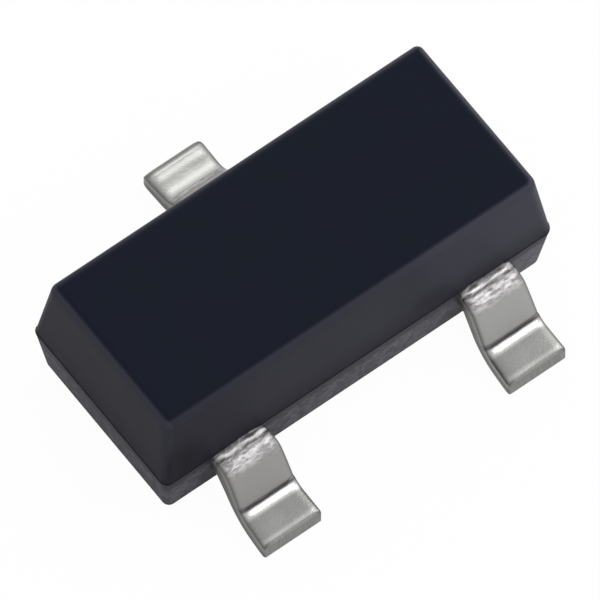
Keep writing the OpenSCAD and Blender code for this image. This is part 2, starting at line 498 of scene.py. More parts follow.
def heel(count):
    """Lower face under the bend above the foot, with this many points."""
    corner = Vector((ANKLE_U - LEAD_T * math.tan(LEG_ANGLE / 2), 0))
    return bend(corner, LEG_ANGLE, 0, HEEL_R, count - 1)


def lead_face(level, knee_u, knee_r, ankle, toe_u):
    """Side view of a lead's upper or lower face, from inside the body to where the toe starts to
    round."""
    knee = bend(Vector((knee_u, level)), 0, LEG_ANGLE, knee_r, steps=48)
    inside = (FRAME_U - 2 * FRAME_R, level, 0.0)
    out, height, slope = ankle[-1]
    toe = (toe_u, height - (toe_u - out) * math.tan(slope), slope)
    shoulder = straight(inside, knee[0], steps=24)
    leg = straight(knee[-1], ankle[0], steps=36)
    foot = straight(ankle[-1], toe, steps=8)
    return [inside] + shoulder + knee + leg + ankle + foot + [toe]


def lead_stations(form):
    """Matching points of the upper and lower face along a lead."""
    knee_shift = LEAD_T * math.tan(LEG_ANGLE / 2)
    ankle = grooved_ankle(form) if form.grooved else plain_ankle(form)
    toe_u = form.toe_u - form.toe_l
    upper = lead_face(PARTING_Z, KNEE_U, KNEE_R + LEAD_T, ankle, toe_u)
    lower_z = PARTING_Z - LEAD_T
    lower = lead_face(lower_z, KNEE_U - knee_shift, KNEE_R, heel(len(ankle)), toe_u)
    return list(zip(upper, lower))


# Marks and unevenness of a lead. Each unevenness reads its own row of the noise

def knee_strain(u, slope):
    """Stretch of the upper face: full over the knee and gone at the end of the bend."""
    straightened = slope > LEG_ANGLE - STRAIGHT_ROOM
    return 0.0 if u > ANKLE_U or straightened else 1 - (slope / LEG_ANGLE) ** 3


def groove_share(u, z):
    """How deep in the groove above the foot a point of the upper face lies, from 0 to 1, which sets
    the painted shade there.
    """
    distance = math.hypot(u - ANKLE_U + GROOVE_SHADE_BACK, z - LEAD_T - GROOVE_HEIGHT)
    return limited(GROOVE_SHADE_WIDTHS - distance / GROOVE_SHADE_FADE)


def painted_highlight_share(u, slope):
    """Share of painted highlight on the bend above the foot, from 0 to 1: fully where it slopes 26
    to 46 degrees, and not below 6 or above 50."""
    if u < ANKLE_U - HIGHLIGHT_BACK:
        return 0.0
    degrees = math.degrees(slope)
    return limited((degrees - 6) / 20) * limited((50 - degrees) / 4)


def torn_share(side, height):
    """How torn a cut side is: the die shears its upper part and tears the rest, from 0.62 of its
    height down."""
    return limited((side - 0.7) / 0.3) * limited((0.62 - height) / 0.2)


def waver(x, seed):
    """How far the punch's crease strays from its line across a lead."""
    return CREASE_STRAY * noise.noise(Vector((x / CREASE_STRAY_SIZE, CREASE_STRAY_ROW, seed)))


def line_share(u, middle, width):
    """Share of a soft line across a lead: 1 in its middle and fading within its width."""
    return math.exp(-((u - middle) / width) ** 2)


def lead_relief(x, u, run, strain, seed):
    """Unevenness of a lead's upper face: the punch's crease along the stretched knee, with fine
    wrinkles, and slow waves elsewhere."""
    uneven = noise.noise(Vector((x / CREASE_UNEVEN_SIZE, CREASE_UNEVEN_ROW, seed)))
    depth = CREASE_DEPTH * (1 + CREASE_UNEVEN * uneven)
    crease = -depth * strain * line_share(u - waver(x, seed), CREASE_U, CREASE_W)
    across, lengthwise = WRINKLE_SIZE
    wrinkle = noise.noise(Vector((x / across, run / lengthwise, seed)))
    across, lengthwise = WAVE_SIZE
    wave = noise.noise(Vector((x / across, run / lengthwise, seed + WAVE_ROW)))
    return crease + WRINKLE_DEPTH * strain * wrinkle + WAVE_DEPTH * wave


def way_out(out, form):
    """How far a point of a lead is on its way from the wall to the toe, from 0 to 1."""
    return limited((out - HALF_W) / (form.toe_u - HALF_W))


def sway(run, form):
    """Sideways place of a lead, from the wall at run 0 to the toe at run 1."""
    if run < SWAY_RUN:
        return form.leg_sway * eased(run / SWAY_RUN)
    past = (run - SWAY_RUN) / (1 - SWAY_RUN)
    return form.leg_sway + (form.toe_sway - form.leg_sway) * eased(past)


# Leads

def section_corner(half_w, half_t, corner, angle):
    """Point on an elliptical corner of the strip's section, as (across, up, sideness)."""
    side_x, side_y, wide, high, _, _ = corner
    side = math.cos(angle) / wide
    up = math.sin(angle) / high
    x = side_x * (half_w - wide) + wide * math.cos(angle)
    y = side_y * (half_t - high) + high * math.sin(angle)
    return Vector((x, y, abs(side) / math.hypot(side, up)))


def strip_section(half_w, half_t, across=30, through=8, steps=8):
    """Section of the stamped strip, as (across, up, sideness), anticlockwise from the lower right
    corner. The upper edges are rolled over, the lower ones sharper."""
    corners = ((1, -1, BURR_R, BURR_R, -90, through), (1, 1, ROLLOVER_W, ROLLOVER_R, 0, across),
               (-1, 1, ROLLOVER_W, ROLLOVER_R, 90, through), (-1, -1, BURR_R, BURR_R, 180, across))
    points = []
    for index, corner in enumerate(corners):
        start, count = corner[4:]
        for i in range(steps + 1):
            turn = math.radians(start + 90 * i / steps)
            points.append(section_corner(half_w, half_t, corner, turn))
        following = corners[(index + 1) % 4]
        target = section_corner(half_w, half_t, following, math.radians(following[4]))
        last = points[-1].copy()
        for i in range(1, count):
            points.append(last.lerp(target, i / count))
    return points


def strip_ring(upper, lower, form):
    """Section of a lead between matching points of its upper and lower face, with the marks of
    each of its points."""
    u, z, slope = upper
    low_u, low_z, _ = lower
    notch = max(0.0, LOCK_R ** 2 - (u - NOTCH_U) ** 2) ** 0.5 if u < HALF_W else 0.0
    strain = knee_strain(u, slope)
    groove = groove_share(u, z) if form.grooved else 0.0
    painted_highlight = painted_highlight_share(u, slope) if form.grooved else 0.0
    ring = []
    marks = []
    for x, h, side in strip_section(LEAD_W_BODY / 2 - notch, LEAD_T / 2):
        share = h / LEAD_T + 0.5
        out = low_u + (u - low_u) * share
        run = way_out(out, form)
        widening = 1 + (LEAD_W_TOE / LEAD_W_BODY - 1) * run
        lift = lead_relief(x, u, u + z, strain, form.seed) * share
        height = low_z + (z - low_z) * share + lift * math.cos(slope)
        ring.append((sway(run, form) + x * widening, out + lift * math.sin(slope), height))
        place = u - waver(x, form.seed)
        # Painted shade in the groove and along the crease line, and painted highlight on the bend
        # above the foot and on the crest
        dark = max(groove, CREASE_LINE_TONE * line_share(place, CREASE_LINE_U, CREASE_LINE_W))
        bright = max(painted_highlight, CREST_TONE * line_share(place, CREST_U, CREST_W))
        # The fourth power keeps both to the upper face
        upper_only = share ** 4
        torn = torn_share(side, share)
        marks.append((strain * share, side, dark * upper_only, bright * upper_only, torn))
    return ring, marks


def toe_ring(step, toe_z, form):
    """Section of a lead at one step of the toe's rounded upper edge, with the marks of each of its
    points."""
    angle = math.pi / 2 * step / TOE_STEPS
    inset = form.toe_r * (1 - math.cos(angle))
    u = form.toe_u - form.toe_l * (1 - math.sin(angle))
    run = way_out(u, form)
    width = LEAD_W_BODY + (LEAD_W_TOE - LEAD_W_BODY) * run - TOE_NARROWING * inset
    widening = width / LEAD_W_BODY
    ring = []
    marks = []
    for x, h, side in strip_section(LEAD_W_BODY / 2, LEAD_T / 2):
        share = h / LEAD_T + 0.5
        ring.append((sway(run, form) + x * widening, u, (toe_z - inset) * share))
        # The trimmed edge looks like a cut side, the more so towards the end face
        trimmed = share * min(1, TRIMMED_START + step / TOE_STEPS)
        marks.append((0.0, max(side, trimmed), 0.0, 0.0, torn_share(side, share)))
    return ring, marks


def lead_rings(form):
    """Rings along one lead that points to +Y, with the marks of each point."""
    stations = lead_stations(form)
    toe_z = stations[-1][0][1]
    sections = [strip_ring(upper, lower, form) for upper, lower in stations]
    sections += [toe_ring(step, toe_z, form) for step in range(1, TOE_STEPS + 1)]
    rings = [ring for ring, _ in sections]
    marks = [mark for _, ring_marks in sections for mark in ring_marks]
    return rings, marks


def joined(piece, cutter):
    """Unites a closed piece with another closed piece, which is then removed."""
    step = piece.modifiers.new("unite", "BOOLEAN")
    step.operation = "UNION"
    step.solver = "EXACT"
    step.object = cutter
    graph = bpy.context.evaluated_depsgraph_get()
    mesh = bpy.data.meshes.new_from_object(piece.evaluated_get(graph))
    piece.modifiers.clear()
    old = piece.data
    piece.data = mesh
    mesh.name = piece.name
    bpy.data.meshes.remove(old)
    bpy.data.objects.remove(cutter)


def frame_plate(name, x0, x1, y0, y1, materials):
    """Flat end of a lead inside the body: its bond post or the paddle."""
    half_x = (x1 - x0) / 2
    half_y = (y1 - y0) / 2
    outline = rounded_rectangle(half_x, half_y, [FRAME_R] * 4, long_count=12, short_count=12)
    middle = Vector(((x0 + x1) / 2, (y0 + y1) / 2))
    levels = (PARTING_Z - LEAD_T, PARTING_Z)
    rings = [[(middle.x + p.x, middle.y + p.y, z) for p in outline] for z in levels]
    verts, faces = loft(rings)
    piece = make_piece(name, verts, faces, materials)
    finish_shading(piece.data)
    return piece


def keep_marks(mesh, marks):
    """Keeps the marks of a lead's points as attributes that its tin reads."""
    for column, layer in enumerate(LEAD_MARKS):
        values = mesh.attributes.new(layer, "FLOAT", "POINT")
        values.data.foreach_set("value", [mark[column] for mark in marks])


def mark_toe(piece, side, toe_u):
    """Gives the sheared end face the second material."""
    for face in piece.data.polygons:
        at_end = abs(face.center.y) > (toe_u - END_FACE_ROOM) * MM
        if at_end and face.normal.y * side > END_FACE_LEAST:
            face.material_index = 1


def gull_wing_lead(name, node, x, side, plate, form, materials):
    """Bent lead at x that points to the front or the back, in one piece with its plate inside the
    body."""
    placed_form = form._replace(leg_sway=side * form.leg_sway, toe_sway=side * form.toe_sway)
    rings, marks = lead_rings(placed_form)
    placed = [[(x + side * p[0], side * p[1], p[2]) for p in ring] for ring in rings]
    verts, faces = loft(placed)
    piece = make_piece(name, verts, faces, materials)
    keep_marks(piece.data, marks)
    finish_shading(piece.data)
    joined(piece, frame_plate(name + "_plate", *plate, materials))
    finish_shading(piece.data)
    mark_toe(piece, side, form.toe_u)
    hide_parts(node)


# Materials

def linear(code):
    """Linear RGBA of an sRGB hex colour."""
    channels = [int(code[i:i + 2], 16) / 255 for i in (1, 3, 5)]
    levels = [c / 12.92 if c <= 0.04045 else ((c + 0.055) / 1.055) ** 2.4 for c in channels]
    return tuple(levels) + (1.0,)


def add(tree, kind, inputs=None, **settings):
    """Adds a node, applies its settings, and gives its sockets values or links from other
    sockets."""
    node = tree.nodes.new(kind)
    for name, value in settings.items():
        setattr(node, name, value)
    for name, value in (inputs or {}).items():
        if isinstance(value, bpy.types.NodeSocket):
            tree.links.new(value, node.inputs[name])
        else:
            node.inputs[name].default_value = value
    return node


def new_material(name, **uniform):
    """Material with its Principled shader, whose even values are set on the sockets themselves."""
    material = bpy.data.materials.new(name)
    material.use_nodes = True
    tree = material.node_tree
    tree.nodes.clear()
    inputs = {key.replace("_", " "): value for key, value in uniform.items()}
    shader = add(tree, "ShaderNodeBsdfPrincipled", inputs)
    add(tree, "ShaderNodeOutputMaterial", {"Surface": shader.outputs["BSDF"]})
    return material, tree, shader


def per_metre(size_mm):
    """Noise scale at which one feature is about size_mm across."""
    return 1 / (size_mm * MM)


def rightward_painted_light(tree, x):
    """Share of painted light on the upper walls: they grow paler towards the right, with a step a
    little right of the middle."""
    steady = add(tree, "ShaderNodeMapRange", {"Value": x, "From Min": -HALF_L * MM,
                 "From Max": HALF_L * MM, "To Min": -0.03, "To Max": 0.4}).outputs["Result"]
    light_step = add(tree, "ShaderNodeMapRange", {"Value": x, "From Min": 0.42 * MM,
                 "From Max": 0.66 * MM, "To Max": 0.2},
                 interpolation_type="SMOOTHSTEP").outputs["Result"]
    return add(tree, "ShaderNodeMath", {0: steady, 1: light_step}, operation="ADD").outputs["Value"]


def rim_painted_sheen(tree, facing):
    """How much of a rounded rim or corner a place is. These are painted paler, a painted sheen."""
    rim = add(tree, "ShaderNodeMapRange", {"Value": facing.outputs["Z"], "From Min": 0.125,
              "From Max": 0.4}, interpolation_type="SMOOTHSTEP").outputs["Result"]
    diagonal = add(tree, "ShaderNodeMath", {0: facing.outputs["X"], 1: facing.outputs["Y"]},
                   operation="MULTIPLY").outputs["Value"]
    diagonal = add(tree, "ShaderNodeMath", {0: diagonal}, operation="ABSOLUTE").outputs["Value"]
    corner = add(tree, "ShaderNodeMapRange", {"Value": diagonal, "From Min": 0.05,
                 "From Max": 0.4, "To Max": 0.4}).outputs["Result"]
    return add(tree, "ShaderNodeMath", {0: rim, 1: corner}, operation="MAXIMUM").outputs["Value"]


def wall_tone(tree, x, facing, cloud):
    """Tone of the upper half's eroded walls: cloudy, with painted light towards the right and a
    painted sheen on the rims.
    """
    rightward_light = rightward_painted_light(tree, x)
    # Cloudy tone, plus the painted light towards the right
    cloud_and_light = add(tree, "ShaderNodeMath", {0: cloud, 1: 0.17, 2: rightward_light},
                  operation="MULTIPLY_ADD").outputs["Value"]
    rim_sheen = rim_painted_sheen(tree, facing)
    # The left end's rims get more of the painted sheen
    left_rim_light = add(tree, "ShaderNodeMapRange", {"Value": facing.outputs["X"], "From Min": -0.1,
                  "From Max": -0.4, "To Min": 0.3, "To Max": 0.75}).outputs["Result"]
    # Painted sheen on the rims, more on the left end's, over the cloudy tone and painted light
    share = add(tree, "ShaderNodeMath", {0: rim_sheen, 1: left_rim_light, 2: cloud_and_light},
                operation="MULTIPLY_ADD").outputs["Value"]
    return add(tree, "ShaderNodeMix", {0: share, MIX_A: linear("#222229"),
               MIX_B: linear("#40404a")}, data_type="RGBA").outputs[MIXED]


def upper_half_tone(tree, x, facing, cloud):
    """Tone of the polished top and the walls round it. The walls are painted paler than the top, a
    painted reflection of the board.
    """
    top = add(tree, "ShaderNodeMix", {0: cloud, MIX_A: linear("#13191f"),
              MIX_B: linear("#151822")}, data_type="RGBA").outputs[MIXED]
    wall = wall_tone(tree, x, facing, cloud)
    # Painted reflection: the steeper a face, the more of the walls' paler tone it takes
    steep = add(tree, "ShaderNodeMapRange", {"Value": facing.outputs["Z"], "From Min": 0.8,
                "From Max": 1.0, "To Min": 1.0, "To Max": 0.0},
                interpolation_type="SMOOTHSTEP").outputs["Result"]
    return add(tree, "ShaderNodeMix", {0: steep, MIX_A: top, MIX_B: wall},
               data_type="RGBA").outputs[MIXED]


def lower_half_tone(tree, place, x):
    """Grey of the lower half, where filler shows at the surface. It is painted paler towards the
    right, a painted light.
    """
    # Filler grains are 5 to 50 micrometres; clusters of them are drawn
    grains = add(tree, "ShaderNodeTexNoise", {"Vector": place, "Scale": per_metre(0.05),
                 "Detail": 3.0, "Roughness": 0.7}).outputs["Fac"]
    chosen = add(tree, "ShaderNodeMapRange", {"Value": grains, "From Min": 0.4,
                 "From Max": 0.75}).outputs["Result"]
    # Painted light: the lower half grows paler towards the right
    lighter_right = add(tree, "ShaderNodeMapRange", {"Value": x, "From Max": HALF_L * MM,
                 "To Max": 0.6}).outputs["Result"]
    share = add(tree, "ShaderNodeMath", {0: chosen, 1: lighter_right}, operation="ADD").outputs["Value"]
    return add(tree, "ShaderNodeMix", {0: share, MIX_A: linear("#434249"),
               MIX_B: linear("#6b6a6f")}, data_type="RGBA").outputs[MIXED]


def lead_shade_patch(tree, place, x, rise, reach_x, reach_z, depth):
    """Share of a patch of painted shade on the front wall, with its middle at x and a rise over the
    parting line."""
    centre = Vector((x, BODY_Y - HALF_W, PARTING_Z + rise))
    reach = Vector((reach_x, LEAD_SHADE_REACH_Y, reach_z))
    scale = Vector((1 / (each * MM) for each in reach))
    shift = Vector((-each / size for each, size in zip(centre, reach)))
    local = add(tree, "ShaderNodeMapping", {"Vector": place, "Location": shift,
                "Scale": scale}).outputs["Vector"]
    away = add(tree, "ShaderNodeVectorMath", {0: local}, operation="LENGTH").outputs["Value"]
    return add(tree, "ShaderNodeMapRange", {"Value": away, "From Min": 0.2, "From Max": 1.0,
               "To Min": depth, "To Max": 0.0},
               interpolation_type="SMOOTHSTEP").outputs["Result"]


def front_lead_shades(tree, place, facing):
    """Share of the patches of painted shade, which are on the front wall alone."""
    in_front = add(tree, "ShaderNodeMapRange", {"Value": facing.outputs["Y"], "From Min": -0.5,
                   "From Max": -0.9, "To Max": 0.9}).outputs["Result"]
    left, right = [lead_shade_patch(tree, place, *each) for each in LEAD_SHADE_PATCHES]
    either = add(tree, "ShaderNodeMath", {0: left, 1: right}, operation="MAXIMUM").outputs["Value"]
    return add(tree, "ShaderNodeMath", {0: either, 1: in_front},
               operation="MULTIPLY").outputs["Value"]


def parting_painted_shade(tree, height):
    """Share of the painted shade that darkens both halves along the parting line."""
    from_parting = add(tree, "ShaderNodeMath", {0: height, 1: PARTING_Z * MM},
                       operation="SUBTRACT").outputs["Value"]
    above = add(tree, "ShaderNodeMapRange", {"Value": from_parting, "From Min": 0.0,
                "From Max": 0.2 * MM, "To Min": 0.63, "To Max": 0.0}).outputs["Result"]
    below = add(tree, "ShaderNodeMapRange", {"Value": from_parting, "From Min": -0.14 * MM,
                "From Max": 0.0, "To Min": 0.0, "To Max": 0.63}).outputs["Result"]
    return add(tree, "ShaderNodeMath", {0: above, 1: below}, operation="MINIMUM").outputs["Value"]


def epoxy_tone(tree, place, spot, low):
    """Tone of both halves of the body, under the painted shade that darkens them."""
    normal = add(tree, "ShaderNodeNewGeometry").outputs["Normal"]
    facing = add(tree, "ShaderNodeSeparateXYZ", {"Vector": normal})
    cloud = add(tree, "ShaderNodeTexNoise", {"Vector": place, "Scale": per_metre(0.4),
                "Detail": 3.0}).outputs["Fac"]
    upper = upper_half_tone(tree, spot.outputs["X"], facing, cloud)
    lower = lower_half_tone(tree, place, spot.outputs["X"])
    unshaded = add(tree, "ShaderNodeMix", {0: low, MIX_A: upper, MIX_B: lower},
                data_type="RGBA").outputs[MIXED]
    # Painted shade along the parting line
    parting_shade = parting_painted_shade(tree, spot.outputs["Z"])
    # Painted shade in patches beside the front leads
    lead_shades = front_lead_shades(tree, place, facing)
    # Painted shade along the parting line and beside the front leads, mixed towards near black
    painted_shade = add(tree, "ShaderNodeMath", {0: parting_shade, 1: lead_shades}, operation="MAXIMUM").outputs["Value"]
    return add(tree, "ShaderNodeMix", {0: painted_shade, MIX_A: unshaded, MIX_B: linear("#16151b")},
               data_type="RGBA").outputs[MIXED]


def moulded_epoxy():
    """Silica-filled black epoxy, transfer-moulded: near black, with a soft, slightly blue sheen. The
    top comes from a polished cavity floor; the eroded walls are painted a little paler as a painted
    reflection of the board, with painted light on their rims and towards the right, and the lower
    half is grey with filler that shows at its surface, painted paler towards the right. Painted shade
    darkens both along the parting line, and patches of the front wall beside the front leads."""
    material, tree, shader = new_material("moulded_epoxy", IOR=1.5, Specular_IOR_Level=0.08,
                                          Specular_Tint=linear("#c8c8ff"))
    place = add(tree, "ShaderNodeTexCoord").outputs["Object"]
    spot = add(tree, "ShaderNodeSeparateXYZ", {"Vector": place})
    low = add(tree, "ShaderNodeMapRange", {"Value": spot.outputs["Z"],
              "From Min": (PARTING_Z - 0.11) * MM, "From Max": (PARTING_Z - 0.01) * MM,
              "To Min": 1.0, "To Max": 0.0}).outputs["Result"]
    tree.links.new(epoxy_tone(tree, place, spot, low), shader.inputs["Base Color"])
    rough = add(tree, "ShaderNodeMapRange", {"Value": low, "To Min": 0.48, "To Max": 0.6})
    tree.links.new(rough.outputs["Result"], shader.inputs["Roughness"])
    # The eroded texture is about 10 micrometres across, drawn at 16
    texture = add(tree, "ShaderNodeTexNoise", {"Vector": place, "Scale": per_metre(0.016),
                  "Detail": 4.0}).outputs["Fac"]
    bump = add(tree, "ShaderNodeBump", {"Height": texture, "Strength": 0.25,
               "Distance": 0.004 * MM})
    tree.links.new(bump.outputs["Normal"], shader.inputs["Normal"])
    return material


def plated_tone(tree, place, cloud):
    """Tone of plain tin: cloudy on the feet and other faces that look up, and darker on the legs, a
    painted shade.
    """
    foot = add(tree, "ShaderNodeMix", {0: cloud, MIX_A: linear("#9c9c9a"),
               MIX_B: linear("#b4b4b1")}, data_type="RGBA").outputs[MIXED]
    # Painted shade: the legs are darker, and the left one most
    across = add(tree, "ShaderNodeSeparateXYZ", {"Vector": place}).outputs["X"]
    rightward = add(tree, "ShaderNodeMapRange", {"Value": across,
                    "From Min": -LEAD_PITCH / 2 * MM,
                    "From Max": LEAD_PITCH / 2 * MM}).outputs["Result"]
    leg = add(tree, "ShaderNodeMix", {0: rightward, MIX_A: linear("#999896"),
              MIX_B: linear("#a2a2a0")}, data_type="RGBA").outputs[MIXED]
    normal = add(tree, "ShaderNodeNewGeometry").outputs["Normal"]
    facing_up = add(tree, "ShaderNodeSeparateXYZ", {"Vector": normal}).outputs["Z"]
    upward = add(tree, "ShaderNodeMapRange", {"Value": facing_up, "From Min": 0.55,
                 "From Max": 0.8}).outputs["Result"]
    return add(tree, "ShaderNodeMix", {0: upward, MIX_A: leg, MIX_B: foot},
               data_type="RGBA").outputs[MIXED]


def crack_pattern(tree, place):
    """Cracks in the stretched tin. They run along the bend, about 15 micrometres apart, and are
    drawn at 26."""
    along_bend = add(tree, "ShaderNodeMapping", {"Vector": place, "Scale": (0.4, 1.0, 1.0)})
    return add(tree, "ShaderNodeTexNoise", {"Vector": along_bend.outputs["Vector"],
               "Scale": per_metre(0.026), "Detail": 3.0, "Roughness": 0.6}).outputs["Fac"]


def cracked_tone(tree, cracks):
    """Speckled tone of the stretched tin."""
    crack_share = add(tree, "ShaderNodeMapRange", {"Value": cracks, "From Min": 0.38,
                      "From Max": 0.62}).outputs["Result"]
    return add(tree, "ShaderNodeMix", {0: crack_share, MIX_A: linear("#777275"),
               MIX_B: linear("#c6c4c5")}, data_type="RGBA").outputs[MIXED]


def cut_and_shade_tone(tree, marks):
    """Tone of the stamped edges: painted darker where they roll over, a painted shade, paler where
    the die sheared them, and dark where it tore them."""
    sheared = add(tree, "ShaderNodeMapRange", {"Value": marks["side"], "From Min": 0.8,
                  "From Max": 1.0}).outputs["Result"]
    tone = add(tree, "ShaderNodeMix", {0: sheared, MIX_A: linear("#6c6c6a"),
               MIX_B: linear("#8c8c8a")}, data_type="RGBA").outputs[MIXED]
    return add(tree, "ShaderNodeMix", {0: marks["torn"], MIX_A: tone,
               MIX_B: linear("#666664")}, data_type="RGBA").outputs[MIXED]


def tin_roughness(tree, cloud, marks):
    """Roughness of the tin: rougher where it is stretched and smoother under the painted highlight.
    """
    rough = add(tree, "ShaderNodeMapRange", {"Value": cloud, "To Min": 0.36,
                "To Max": 0.44}).outputs["Result"]
    rough = add(tree, "ShaderNodeMath", {0: marks["strain"], 1: 0.08, 2: rough},
                operation="MULTIPLY_ADD").outputs["Value"]
    return add(tree, "ShaderNodeMath", {0: marks["painted_highlight"], 1: -0.12, 2: rough},
               operation="MULTIPLY_ADD").outputs["Value"]


def tin_relief(tree, place, cracks, strain):
    """Fine relief of the tin: its grains, over the cracks of the stretched knee."""
    height = add(tree, "ShaderNodeMath", {0: cracks, 1: strain},
                 operation="MULTIPLY").outputs["Value"]
    cracked = add(tree, "ShaderNodeBump", {"Height": height, "Strength": 0.6,
                  "Distance": 0.008 * MM}).outputs["Normal"]
    # Tin grains are about 5 micrometres, drawn at 12
    grains = add(tree, "ShaderNodeTexVoronoi", {"Vector": place, "Scale": per_metre(0.012)})
    return add(tree, "ShaderNodeBump", {"Height": grains.outputs["Distance"], "Strength": 0.15,
               "Distance": 0.004 * MM, "Normal": cracked}).outputs["Normal"]


def matte_tin():
    """Matte tin, plated on the stamped copper strip before bending: a grey metal of fine grains. It
    is cracked and speckled where the knee was stretched. It has a painted highlight at the bend above
    the foot and on the knee's crest, painted shade on the legs, on the rolled-over edges, in the
    groove and along the crease line, and stamped edges paler where sheared and dark where torn."""
    material, tree, shader = new_material("matte_tin", Metallic=1.0)
    place = add(tree, "ShaderNodeTexCoord").outputs["Object"]
    marks = {}
    for layer in LEAD_MARKS:
        marks[layer] = add(tree, "ShaderNodeAttribute", attribute_name=layer).outputs["Fac"]
    cloud = add(tree, "ShaderNodeTexNoise", {"Vector": place, "Scale": per_metre(0.12),
                "Detail": 4.0}).outputs["Fac"]
    cracks = crack_pattern(tree, place)
    # Rolled-over and cut edges take the stamped edges' tone, with its painted shade on the rollover
    edge = add(tree, "ShaderNodeMapRange", {"Value": marks["side"], "From Min": 0.3,
               "From Max": 0.7}).outputs["Result"]
    tone = plated_tone(tree, place, cloud)
    # Near white for the painted highlight, and dark for the painted shade in the groove and along the
    # crease line
    coats = ((marks["strain"], cracked_tone(tree, cracks)), (marks["painted_highlight"], linear("#dcdcda")),
             (edge, cut_and_shade_tone(tree, marks)), (marks["groove"], linear("#565254")))
    for share, colour in coats:
        tone = add(tree, "ShaderNodeMix", {0: share, MIX_A: tone, MIX_B: colour},
                   data_type="RGBA").outputs[MIXED]
    tree.links.new(tone, shader.inputs["Base Color"])
    tree.links.new(tin_roughness(tree, cloud, marks), shader.inputs["Roughness"])
    tree.links.new(tin_relief(tree, place, cracks, marks["strain"]), shader.inputs["Normal"])
    return material


def sheared_tin():
    """End face that the trimming tool cut: tin smeared over copper alloy, scored from top to
    bottom."""
    material, tree, shader = new_material("sheared_tin", Metallic=1.0, Roughness=0.5)
    place = add(tree, "ShaderNodeTexCoord").outputs["Object"]
    stretch = add(tree, "ShaderNodeMapping", {"Vector": place, "Scale": (1.0, 1.0, 0.12)})
    scores = add(tree, "ShaderNodeTexNoise", {"Vector": stretch.outputs["Vector"],
                 "Scale": per_metre(0.014), "Detail": 3.0}).outputs["Fac"]
    tone = add(tree, "ShaderNodeMix", {0: scores, MIX_A: linear("#6e6e6c"),
               MIX_B: linear("#9b9b98")}, data_type="RGBA")
    tree.links.new(tone.outputs[MIXED], shader.inputs["Base Color"])
    bump = add(tree, "ShaderNodeBump", {"Height": scores, "Strength": 0.5,
               "Distance": 0.004 * MM})
    tree.links.new(bump.outputs["Normal"], shader.inputs["Normal"])
    return material


def silver_adhesive():
    """Epoxy paste full of silver flakes, cured: dull silver grey with a mottled surface."""
    material, tree, shader = new_material("silver_adhesive", Metallic=0.6, Roughness=0.55)
    place = add(tree, "ShaderNodeTexCoord").outputs["Object"]
    flakes = add(tree, "ShaderNodeTexVoronoi", {"Vector": place, "Scale": per_metre(0.02)})
    tone = add(tree, "ShaderNodeMix", {0: flakes.outputs["Distance"],
               MIX_A: linear("#a4a4a6"), MIX_B: linear("#77777a")}, data_type="RGBA")
    tree.links.new(tone.outputs[MIXED], shader.inputs["Base Color"])
    return material


def polished_silicon():
    """Silicon chip under its glassy top coat: dark blue-grey, with fine rows of circuitry below."""
    material, tree, shader = new_material("polished_silicon", IOR=2.0, Roughness=0.15,
                                          Coat_Weight=0.6)
    place = add(tree, "ShaderNodeTexCoord").outputs["Object"]
    blocks = add(tree, "ShaderNodeTexVoronoi", {"Vector": place, "Scale": per_metre(0.06)},
                 distance="CHEBYCHEV")
    tone = add(tree, "ShaderNodeMix", {0: blocks.outputs["Distance"],
               MIX_A: linear("#3f4656"), MIX_B: linear("#6f6a72")}, data_type="RGBA")
    tree.links.new(tone.outputs[MIXED], shader.inputs["Base Color"])
    return material


def drawn_gold():
    """Gold bond wire, drawn through dies: smooth, with faint lines along it."""
    material, tree, shader = new_material("drawn_gold", Metallic=1.0, Roughness=0.2)
    place = add(tree, "ShaderNodeTexCoord").outputs["Object"]
    lines = add(tree, "ShaderNodeTexNoise", {"Vector": place, "Scale": per_metre(0.03),
                "Detail": 2.0})
    tone = add(tree, "ShaderNodeMix", {0: lines.outputs["Fac"], MIX_A: linear("#d9a94e"),
               MIX_B: linear("#edc777")}, data_type="RGBA")
    tree.links.new(tone.outputs[MIXED], shader.inputs["Base Color"])
    return material


def dress_node(node, material):
    """Gives a CAD node that stays its material."""
    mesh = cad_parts[node].data
    mesh.materials.clear()
    mesh.materials.append(material)


# Stage, light and camera

def board_glow(tree):
    """Share of plain white that each ray sees on the board: nearly all for the camera, apart from
    the part's faint shadow, and less for reflections in a deeper shadow close to the part."""
    path = add(tree, "ShaderNodeLightPath")
    mirrored = add(tree, "ShaderNodeMath", {0: path.outputs["Is Glossy Ray"],
                   1: path.outputs["Is Transmission Ray"]},
                   operation="ADD", use_clamp=True).outputs["Value"]
    place = add(tree, "ShaderNodeTexCoord").outputs["Object"]
    away = add(tree, "ShaderNodeVectorMath", {0: place}, operation="LENGTH").outputs["Value"]
    camera_glow = add(tree, "ShaderNodeMapRange", {"Value": away, "From Min": 2.5 * MM,
                      "From Max": 12 * MM, "To Min": 0.97, "To Max": 1.0}).outputs["Result"]
    off_shade = add(tree, "ShaderNodeVectorMath", {0: place, 1: tuple(SHADE_MIDDLE * MM)},
                    operation="DISTANCE").outputs["Value"]
    mirror_glow = add(tree, "ShaderNodeMapRange", {"Value": off_shade, "From Min": 0.8 * MM,
                      "From Max": 6.0 * MM, "To Min": MIRRORED_GLOW,
                      "To Max": 1.0}).outputs["Result"]
    camera_share = add(tree, "ShaderNodeMath", {0: path.outputs["Is Camera Ray"],
                       1: camera_glow}, operation="MULTIPLY").outputs["Value"]
    return add(tree, "ShaderNodeMath", {0: mirrored, 1: mirror_glow, 2: camera_share},
               operation="MULTIPLY_ADD").outputs["Value"]


